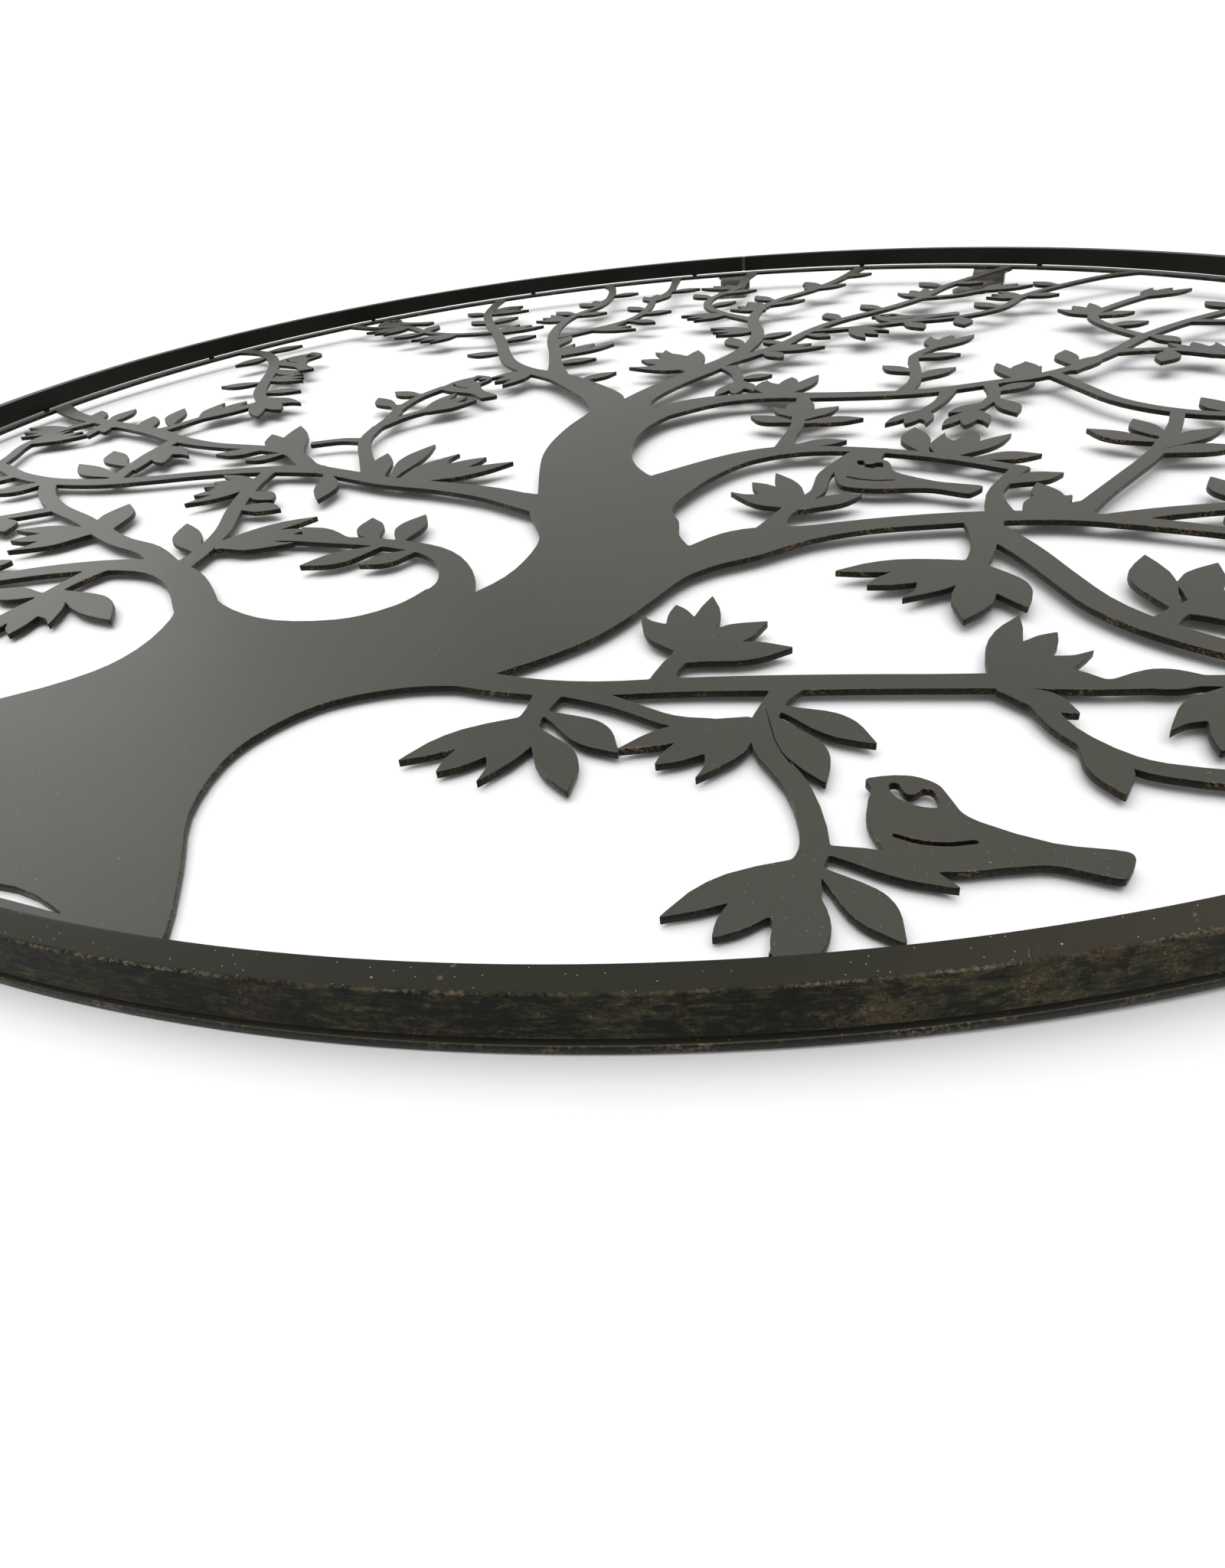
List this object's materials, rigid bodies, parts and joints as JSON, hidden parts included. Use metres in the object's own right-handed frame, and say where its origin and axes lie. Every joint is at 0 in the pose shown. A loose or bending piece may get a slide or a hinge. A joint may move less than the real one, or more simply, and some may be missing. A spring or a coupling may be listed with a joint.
{
  "type": "openwork tree wall disc",
  "caption": "Round wall disc: a leafing tree with birds cut from flat sheet, a flat-bar hoop standing proud along the rim, and slotted hangers behind the crown.",
  "frame": {"origin": "on the disc's axis, in the wall plane that the backs of the hangers rest on", "axes": "+Z out of the front face towards the viewer, +Y up to the crown of the tree, +X to the viewer's right"},
  "size_m": [0.6, 0.6, 0.0185],
  "materials": {
    "sheet_finish": "satin dark grey-brown coat with cut edges rubbed towards bronze",
    "hoop_finish": "brushed dark bronze patina with olive-gold clouds on the outer face",
    "weld_finish": "rough weld under the same dark patina",
    "hanger_finish": "dark painted steel strip"
  },
  "bodies": {
    "root": {"border_ring": "sheet_finish", "trunk": "sheet_finish", "bough_low_right": "sheet_finish", "bough_mid_right": "sheet_finish", "bough_inner_right": "sheet_finish", "bough_upper_right": "sheet_finish", "bough_top": "sheet_finish", "bough_upper_left": "sheet_finish", "bough_mid_left": "sheet_finish", "bough_curl_left": "sheet_finish", "bough_low_left": "sheet_finish", "bird_low_right": "sheet_finish", "bird_inner_right": "sheet_finish", "bird_far_right": "sheet_finish", "bird_top_right": "sheet_finish", "bird_top_left": "sheet_finish", "bird_far_left": "sheet_finish", "bird_mid_left": "sheet_finish", "bird_low_left": "sheet_finish", "rim_hoop": "hoop_finish", "hoop_seam_weld": "weld_finish", "weld_tacks": "weld_finish", "hanger_left": "hanger_finish", "hanger_right": "hanger_finish", "hanger_welds": "weld_finish"}
  },
  "joints": []
}
